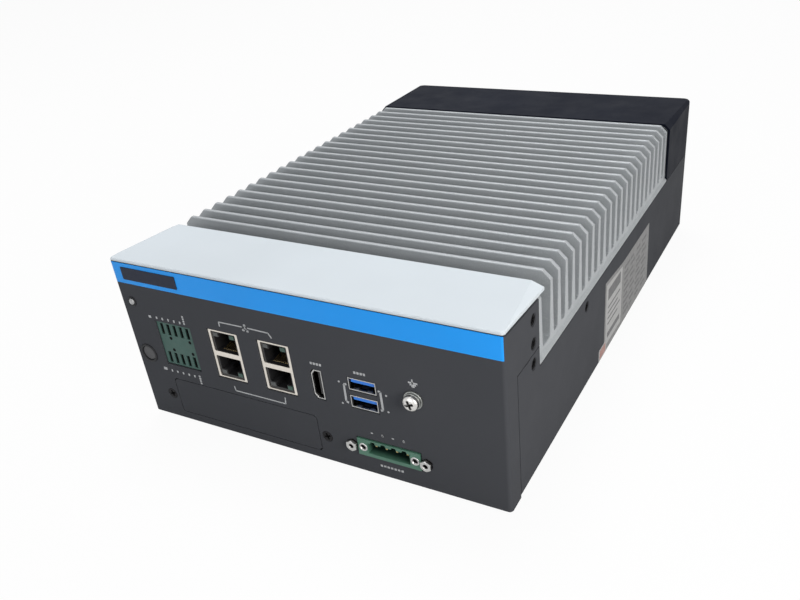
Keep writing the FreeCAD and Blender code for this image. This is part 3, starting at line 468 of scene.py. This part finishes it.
def shown_to_eye(tree, path):
    """1 for rays from the camera and for those that a surface reflects or lets through."""
    seen = path.outputs["Is Camera Ray"]
    for kind in ("Is Glossy Ray", "Is Transmission Ray"):
        either = tree.nodes.new("ShaderNodeMath")
        either.operation = "MAXIMUM"
        tree.links.new(seen, either.inputs[0])
        tree.links.new(path.outputs[kind], either.inputs[1])
        seen = either.outputs[0]
    return seen


world = bpy.data.worlds.new("world")
scene.world = world
world.use_nodes = True
tree = world.node_tree
tree.nodes.clear()
out = tree.nodes.new("ShaderNodeOutputWorld")
seen = tree.nodes.new("ShaderNodeBackground")
seen.inputs["Color"].default_value = (1, 1, 1, 1)
seen.inputs["Strength"].default_value = 1.0
lit = tree.nodes.new("ShaderNodeBackground")
lit.inputs["Color"].default_value = (0.95, 0.97, 1.0, 1)
lit.inputs["Strength"].default_value = WORLD_LIGHT
path = tree.nodes.new("ShaderNodeLightPath")
mix = tree.nodes.new("ShaderNodeMixShader")
tree.links.new(shown_to_eye(tree, path), mix.inputs["Fac"])
tree.links.new(lit.outputs[0], mix.inputs[1])
tree.links.new(seen.outputs[0], mix.inputs[2])
tree.links.new(mix.outputs[0], out.inputs["Surface"])


def lamp(name, place, target, size, power, colour=(1, 1, 1)):
    """A soft lamp aimed at a target, in metres and watts."""
    data = bpy.data.lights.new(name, "AREA")
    data.shape = "RECTANGLE"
    data.size, data.size_y = size
    data.energy = power
    data.color = colour
    obj = bpy.data.objects.new(name, data)
    scene.collection.objects.link(obj)
    obj.location = place
    obj.rotation_euler = (Vector(target) - Vector(place)).to_track_quat("-Z", "Y").to_euler()


lamp("overhead", (-0.25, 0.35, 1.5), (0, 0, 0.04), (0.8, 0.8), 19.5)
lamp("right", (0.62, -0.36, 0.3), (0.09, -0.12, 0.04), (0.3, 0.3), 3.7, (1.0, 0.975, 0.94))
lamp("front", (-0.2, -1.6, 0.7), (0, 0, 0.04), (1.2, 0.8), 7.4, (0.97, 0.98, 1.0))

floor = bmesh.new()
for x, y in ((-1, -1), (1, -1), (1, 1), (-1, 1)):
    floor.verts.new((x * FLOOR_REACH, y * FLOOR_REACH, 0.0))
floor.faces.new(floor.verts)
floor_data = bpy.data.meshes.new("floor")
floor.to_mesh(floor_data)
floor.free()
floor_piece = bpy.data.objects.new("floor", floor_data)
scene.collection.objects.link(floor_piece)
floor_mat = bpy.data.materials.new("floor")
floor_mat.use_nodes = True
tree = floor_mat.node_tree
tree.nodes.clear()
out = tree.nodes.new("ShaderNodeOutputMaterial")
matt = tree.nodes.new("ShaderNodeBsdfDiffuse")
matt.inputs["Color"].default_value = (0.66, 0.66, 0.66, 1)
glow = tree.nodes.new("ShaderNodeEmission")
glow.inputs["Color"].default_value = (1, 1, 1, 1)
glow.inputs["Strength"].default_value = 1.0
path = tree.nodes.new("ShaderNodeLightPath")
scale = tree.nodes.new("ShaderNodeMath")
scale.operation = "MULTIPLY"
scale.inputs[1].default_value = FLOOR_SHOWN
mix = tree.nodes.new("ShaderNodeMixShader")
tree.links.new(shown_to_eye(tree, path), scale.inputs[0])
tree.links.new(scale.outputs[0], mix.inputs["Fac"])
tree.links.new(matt.outputs[0], mix.inputs[1])
tree.links.new(glow.outputs[0], mix.inputs[2])
tree.links.new(mix.outputs[0], out.inputs["Surface"])
floor_data.materials.append(floor_mat)

# ---------------------------------------------------------------- print on the panel
THIN = 0.03                 # height of the print
marks = bmesh.new()


def mark(outline):
    slab(marks, outline, 0.0, THIN, on_front)


def stroke(*points, width=0.6):
    for p, q in zip(points, points[1:]):
        mark(bar(p, q, width))


def dashes(a, b, wide, high, count, step_a, step_b, r=0.15):
    """A row or column of small marks from its lower left corner, in place of words."""
    for i in range(count):
        left, low = a + step_a * i, b + step_b * i
        mark(soft_rect(left, left + wide, low, low + high, r))


# brackets over and under the network sockets, with a sign of three joined points
stroke((57.8, 60.6), (57.8, 62.9), (70.6, 63.0))
stroke((73.6, 63.0), (84.4, 62.8), (85.9, 60.5))
for a, b in ((71.2, 61.6), (72.2, 64.0), (73.3, 61.4)):
    mark(soft_rect(a - 0.6, a + 0.6, b - 0.55, b + 0.55, 0.2))
stroke((71.2, 61.6), (72.2, 62.8), (72.2, 64.0), width=0.35)
stroke((72.2, 62.8), (73.3, 61.4), width=0.35)
stroke((57.6, 29.2), (57.9, 26.8), (85.9, 26.8), (86.2, 30.2))

# over and under the signal terminal, then over the video socket and the serial bus sockets
dashes(19.45, 57.0, 0.9, 1.3, 5, 3.5, 0, r=0.2)
dashes(19.45, 28.2, 0.9, 1.3, 5, 3.5, 0, r=0.2)
mark(soft_rect(14.9, 16.5, 56.8, 58.1, 0.3))
mark(soft_rect(14.7, 16.9, 28.3, 29.8, 0.3))
dashes(36.0, 57.2, 1.0, 0.9, 4, 0, 1.2)
dashes(36.5, 25.1, 1.1, 1.0, 4, 0, 1.3)
dashes(103.7, 51.9, 1.1, 1.2, 4, 1.5, 0)
dashes(125.0, 52.2, 1.1, 1.2, 4, 1.5, 0)

# brackets and dots beside the serial bus sockets
stroke((120.6, 46.0), (119.3, 45.6), (119.2, 37.1), (120.4, 36.5), width=1.05)
stroke((135.6, 46.3), (136.7, 45.9), (136.9, 37.1), (135.8, 36.6), width=1.05)
for a, b in ((117.0, 46.4), (117.2, 35.6), (139.3, 44.9), (139.4, 36.8)):
    mark(disc(a, b, 0.5))

# the earth sign, then the marks over and under the supply terminal
stroke((152.2, 56.0), (152.2, 53.6))
for half, b in ((2.1, 54.3), (1.4, 53.4), (0.7, 52.6)):
    mark(rect(152.4 - half, 152.4 + half, b - 0.4, b + 0.4))
for i in range(4):
    a = SUPPLY_X + (i - 1.5) * PIN_PITCH + 0.2
    mark(rect(a - 0.55, a + 0.55, 22.9, 23.5))
    if i in (1, 3):
        mark(rect(a - 0.3, a + 0.3, 22.6, 23.9))
for i in range(7):
    mark(soft_rect(131.6 + 1.7 * i, 132.8 + 1.7 * i, 5.9 + 0.1 * (i % 2), 7.0, 0.15))
piece("panel_marks", marks, print_white, smooth=0)

badge = bmesh.new()
slab(badge, soft_rect(6.2, 38.3, 75.2, 81.4, 0.4), 0.0, 0.25, on_front)
piece("blank_badge", badge, badge_navy, smooth=0)

# ---------------------------------------------------------------- the band, round the corners
FILM = 0.28                 # thickness
PROUD = 0.02                # off the panel's face, so that the two share no surface
film = bmesh.new()
low_z, high_z = BAND_LOW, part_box("accent_strip")[1][2] / MM - origin.z / MM
plan = []
for centre, start, end in ((CORNER, 235.0, 270.0), (WIDTH - CORNER, 270.0, 305.0)):
    plan += arc(CORNER + PROUD, (centre, CORNER), start, end, 4)
front, back, front_top, back_top = [
    [film.verts.new(case(x, y + deep, z)) for x, y in plan]
    for z in (low_z, high_z) for deep in (0, FILM)]
for i in range(len(plan) - 1):
    film.faces.new((front[i], front[i + 1], front_top[i + 1], front_top[i]))
    film.faces.new((back[i], back_top[i], back_top[i + 1], back[i + 1]))
    film.faces.new((front[i], back[i], back[i + 1], front[i + 1]))
    film.faces.new((front_top[i], front_top[i + 1], back_top[i + 1], back_top[i]))
film.faces.new((front[0], front_top[0], back_top[0], back[0]))
film.faces.new((front[-1], back[-1], back_top[-1], front_top[-1]))
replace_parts(piece("band", film, band_blue), "accent_strip")

# ---------------------------------------------------------------- labels on the right side
SHEET, ON_SHEET, ON_FIELDS = 0.06, 0.08, 0.1        # heights of the label's three layers
SEAL_EDGE, SEAL = 0.1, 0.13                         # heights of the sticker's two layers
label = bmesh.new()
slab(label, [(121.0, 2.6), (205.4, 2.6), (203.5, 40.3), (152.0, 40.3), (121.0, 43.0)], 0.0, SHEET,
     on_right)
piece("side_label", label, label_grey, smooth=0)
pale = bmesh.new()
slab(pale, [(123.0, 6.2), (150.5, 5.6), (150.5, 38.4), (123.0, 40.8)], SHEET, ON_SHEET,
     on_right)
piece("label_fields", pale, label_light, smooth=0)
dark = bmesh.new()
slab(dark, rect(126.0, 147.5, 31.0, 37.2), ON_SHEET, ON_FIELDS, on_right)
for i in range(4):
    b = 26.4 - 3.2 * i
    slab(dark, rect(126.0, 147.5 - 4.0 * (i % 2), b, b + 1.0), ON_SHEET, ON_FIELDS, on_right)
slab(dark, rect(126.0, 147.5, 9.2, 12.2), ON_SHEET, ON_FIELDS, on_right)
for row in range(9):
    for word in range(4):
        a, b = 155.0 + 11.6 * word, 6.6 + 3.5 * row
        wide = 10.4 - 1.6 * ((2 * row + 3 * word) % 4)
        slab(dark, rect(a, a + wide, b, b + 1.4), SHEET, ON_SHEET, on_right)
piece("label_blocks", dark, label_dark, smooth=0)
seal_edge = bmesh.new()
slab(seal_edge, soft_rect(112.5, 125.0, 2.5, 9.2, 0.8), 0.0, SEAL_EDGE, on_right)
piece("seal_edge", seal_edge, label_light, smooth=0)
seal = bmesh.new()
slab(seal, soft_rect(114.0, 123.5, 3.3, 8.3, 0.5), SEAL_EDGE, SEAL, on_right)
piece("seal", seal, seal_red, smooth=0)

# ---------------------------------------------------------------- controls and small metal parts
TOWARDS = (0, -1, 0)
ring = bmesh.new()
turned(ring, case(BUTTON[0], 0, BUTTON[1]), TOWARDS,
       [(4.9, -3.9), (4.9, 0.2)] + arc(0.3, (4.6, 0.2), 0, 90) + arc(0.25, (4.05, 0.25), 90, 180)
       + [(3.8, -3.9), (4.9, -3.9)], 72)
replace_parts(piece("button_bezel", ring, button_black), "button_ring")

cap = bmesh.new()
turned(cap, case(BUTTON[0], 0, BUTTON[1]), TOWARDS,
       [(0, -5.1), (4.42, -5.1), (4.42, -4.1), (3.72, -4.1), (3.72, -0.4)]
       + arc(0.4, (3.32, -0.4), 0, 90) + [(2.2, -0.06), (0, -0.12)], 72)
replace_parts(piece("button_cap", cap, button_grey, "button"), "power_button")

pipe_ring = bmesh.new()
turned(pipe_ring, case(LED[0], 0, LED[1]), TOWARDS,
       [(2.4, -2.6), (2.4, 0.2)] + arc(0.3, (2.1, 0.2), 0, 90) + arc(0.2, (1.72, 0.3), 90, 180)
       + [(1.52, -2.6), (2.4, -2.6)], 56)
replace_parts(piece("led_bezel", pipe_ring, button_black), "led_ring")

pipe = bmesh.new()
turned(pipe, case(LED[0], 0, LED[1]), TOWARDS,
       [(0, -9.0), (1.5, -9.0), (1.5, 0.1)] + arc(1.5, (0, 0.1), 0, 27, 5)[1:]
       + [(0.7, 0.78), (0, 0.8)], 48)
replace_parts(piece("led_lens", pipe, light_pipe), "status_led")

ground = bmesh.new()
cross_screw(ground, case(GROUND[0], -1.7, GROUND[1]), TOWARDS,
            [(0, -5.0), (1.9, -5.0), (1.9, 0), (3.5, 0), (3.5, 0.9)]
            + [(3.5 * math.cos(math.radians(t)) ** 0.75, 0.9 + 1.7 * math.sin(math.radians(t)))
               for t in (15, 30, 42, 52)] + [(2.25, 2.42)], 2.1, 1.4)
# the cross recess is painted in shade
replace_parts(piece("ground_cross_screw", ground, plated_steel, inner=recess_shade),
            "ground_screw")

washers = bmesh.new()
turned(washers, case(GROUND[0], 0, GROUND[1]), TOWARDS,
       [(2.05, 0), (4.2, 0)] + arc(0.2, (4.0, 0.6), 0, 90, 4) + [(2.05, 0.8), (2.05, 0)], 56)
turned(washers, case(GROUND[0], 0, GROUND[1]), TOWARDS,
       [(2.05, 0.82), (3.55, 0.82), (3.7, 0.95)] + arc(0.2, (3.5, 1.5), 0, 90, 4)
       + [(2.05, 1.7), (2.05, 0.82)], 56)
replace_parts(piece("washer_stack", washers, washer_steel), "ground_washers")


def flat_heads(name, node, places, look):
    """Countersunk cross screws, each (place, direction out, length, how far sunk)."""
    mesh = bmesh.new()
    for place, out, length, sunk in places:
        profile = [(0, -length), (1.27, -length), (1.27, -1.3), (2.5 - sunk, -0.35 - sunk * 0.6)]
        profile += [(2.62 - sunk, -0.15 - sunk), (2.5 - sunk, -0.06 - sunk), (1.95, -0.06 - sunk)]
        cross_screw(mesh, place, out, profile, 1.75, 1.1 - sunk, count=40)
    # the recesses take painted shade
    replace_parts(piece(name, mesh, look, inner=black_and_hole_shade), node)


flat_heads("bay_cross_screws", "bay_screws",
           [(case(x, 0, z), TOWARDS, 4.4, 0.0) for x, z in BAY_SCREWS], black_steel)
flat_heads("side_cross_screws", "case_screws",
           [(case(x, y, z), (way, 0, 0), 5.2 if y < 50 else 4.2, 0.2)
            for x, way in ((0, -1), (WIDTH, 1)) for y, z in SIDE_SCREWS], black_and_hole_shade)


def hexagonal(flats):
    """The radius of a hexagon at an angle."""
    return lambda t: flats / 2 / math.cos((t + math.pi / 6) % (math.pi / 3) - math.pi / 6)


def chamfered(flats, top, from_radius):
    """The front of a hexagonal part whose corners are turned off."""
    radius = hexagonal(flats)
    return lambda t: top - 0.55 * max(0.0, radius(t) - from_radius)


posts = bmesh.new()
for x, z in POSTS:
    turned(posts, case(x, 0, z), TOWARDS,
           [(1.1, -3.6), (1.1, 1.75), (1.32, 2.0), (2.25, 2.0),
            (hexagonal(POST_FLATS), chamfered(POST_FLATS, 2.0, 2.25)),
            (hexagonal(POST_FLATS), 0.0), (1.45, 0.0),
            (1.45, -4.6), (1.1, -4.6), (1.1, -3.6)], 60)
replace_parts(piece("hexagonal_posts", posts, post_steel, smooth=25),
            "terminal_posts")

nuts = bmesh.new()
for x, z in FLANGE_NUTS:
    turned(nuts, case(x, 0, z), TOWARDS,
           [(1.25, -8.0), (1.25, 0.55), (1.45, 0.8), (1.9, 0.8), (2.1, 0.62), (2.1, -8.0),
            (1.25, -8.0)], 48)
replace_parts(piece("turned_nuts", nuts, socket_steel), "flange_nuts")

# ---------------------------------------------------------------- small things in the ports
bore_shade_and_points = bmesh.new()
# painted shade: black discs that close the flange nuts' bores
for x, z in FLANGE_NUTS:
    turned(bore_shade_and_points, case(x, 0, z), TOWARDS, [(0, -0.5), (1.27, -0.5), (1.27, 0.1), (0, 0)])
for a, b in TEST_POINTS:
    slab(bore_shade_and_points, disc(a, b, 0.85), -0.62, -0.57, on_front)
piece("bore_shade_and_test_points", bore_shade_and_points, black_and_hole_shade, smooth=0)


def lenses(name, way, look):
    """Indicator windows on one side of the latch slots."""
    mesh = bmesh.new()
    for x in LAN_X:
        for z, up in ((40.6, -1), (50.4, 1)):
            a = x + way * 4.55
            b = z + up * 4.9
            outline = soft_rect(a - 1.25, a + 1.25, b - 0.95, b + 0.95, 0.25)
            slab(mesh, outline, -0.9, -0.6, on_front)
    return piece(name, mesh, look, smooth=0)


def network_shield(name, node, x):
    """Stamped shield: a face frame with two mouths, and walls at both sides, top and rear."""
    mesh = bmesh.new()
    left, right, low, high = x - 8.1, x + 8.1, 32.8, 57.7
    front, rear, sheet = -0.4, -26.0, 0.5
    outlines = [soft_rect(left, right, low, high, 0.35)]
    for mouth_low, mouth_high in ((33.45, 44.3), (46.7, 57.05)):
        outlines.append(soft_rect(x - 6.85, x + 6.85, mouth_low, mouth_high, 0.5))
    sheets = []
    for depth in (front, front - sheet):
        loops = [[mesh.verts.new(on_front(a, depth, b)) for a, b in line] for line in outlines]
        edges = [mesh.edges.new(pair) for loop in loops for pair in zip(loop, loop[1:] + loop[:1])]
        bmesh.ops.triangle_fill(mesh, use_beauty=True, edges=edges)
        sheets.append(loops)
    for front_loop, back_loop in zip(*sheets):
        for i in range(len(front_loop)):
            j = (i + 1) % len(front_loop)
            mesh.faces.new((front_loop[i], front_loop[j], back_loop[j], back_loop[i]))
    for a0, a1, b0, b1 in ((left, left + sheet, low, high - sheet),
                           (right - sheet, right, low, high - sheet),
                           (left, right, high - sheet, high)):
        slab(mesh, rect(a0, a1, b0, b1), rear, front - sheet - 0.02, on_front)
    slab(mesh, rect(left, right, low, high), rear, rear + sheet, on_front)
    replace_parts(piece(name, mesh, shield_steel, smooth=0), node)


network_shield("network_shield_left", "lan_shell_left", LAN_X[0])
network_shield("network_shield_right", "lan_shell_right", LAN_X[1])
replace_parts(lenses("right_lenses", 1, window_green), "lan_windows")
lenses("left_lenses", -1, window_clear)

# ---------------------------------------------------------------- screws of the rear cover
rear_screws = bmesh.new()
for x, z in REAR_SCREWS:
    cross_screw(rear_screws, case(x, DEPTH, z), (0, 1, 0),
                [(0, 0), (2.6, 0), (2.6, 0.4), (2.5, 0.75), (2.2, 1.05), (1.85, 1.15)], 1.6, 0.9,
                count=40)
# black heads, with painted shade in their recesses
piece("rear_screws", rear_screws, black_and_hole_shade, inner=black_and_hole_shade)
